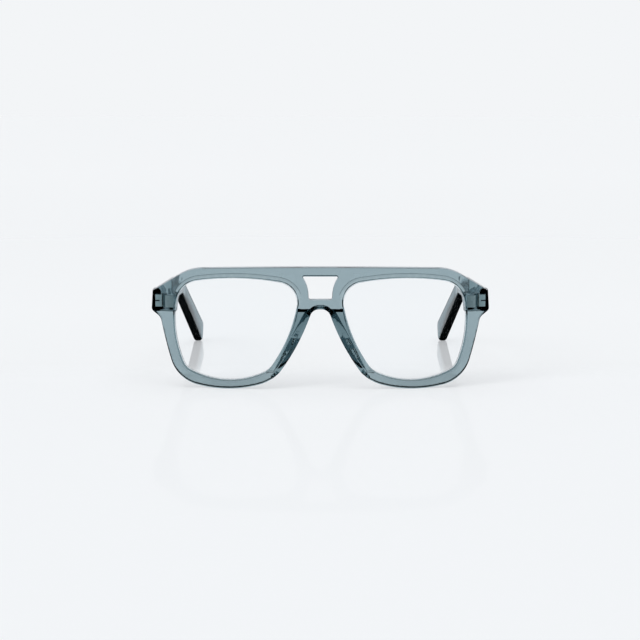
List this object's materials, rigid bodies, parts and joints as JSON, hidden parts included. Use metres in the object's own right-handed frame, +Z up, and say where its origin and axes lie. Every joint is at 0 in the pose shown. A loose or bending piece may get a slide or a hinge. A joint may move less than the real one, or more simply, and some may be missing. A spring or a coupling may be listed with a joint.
{
  "type": "eyeglasses",
  "caption": "Double bridge eyeglasses in clear tinted acetate with plain lenses, bonded nose pads and folding temples on barrel hinges.",
  "frame": {"origin": "centre of the bounding box at floor level, with the temples open and rims and temple tips on the floor", "axes": "+X to the wearer's left, +Y from the front towards the ears, +Z up"},
  "size_m": [0.1452, 0.1482, 0.0532],
  "materials": {
    "acetate": "polished, clear with a grey-blue tint",
    "clear_lens": "polished, clear",
    "hinge_metal": "satin nickel silver",
    "screw_metal": "bright steel",
    "wire_metal": "satin nickel silver"
  },
  "bodies": {
    "front": {"front": "acetate", "nose_pad_left": "acetate", "nose_pad_right": "acetate", "lens_left": "clear_lens", "lens_right": "clear_lens", "front_hinge_leaf_left": "hinge_metal", "front_hinge_leaf_right": "hinge_metal", "hinge_screw_left": "screw_metal", "hinge_screw_right": "screw_metal"},
    "temple_left": {"temple_left": "acetate", "temple_hinge_leaf_left": "hinge_metal", "core_wire_left": "wire_metal"},
    "temple_right": {"temple_right": "acetate", "temple_hinge_leaf_right": "hinge_metal", "core_wire_right": "wire_metal"}
  },
  "joints": [
    {"name": "temple_left_fold", "type": "hinge", "parent": "front", "child": "temple_left", "pos_m": [0.06661, -0.05872, 0.03748], "axis": [0, -0.0495, 0.9988], "range_deg": [0, 88]},
    {"name": "temple_right_fold", "type": "hinge", "parent": "front", "child": "temple_right", "pos_m": [-0.06661, -0.05872, 0.03748], "axis": [0, 0.0495, -0.9988], "range_deg": [0, 81]}
  ]
}
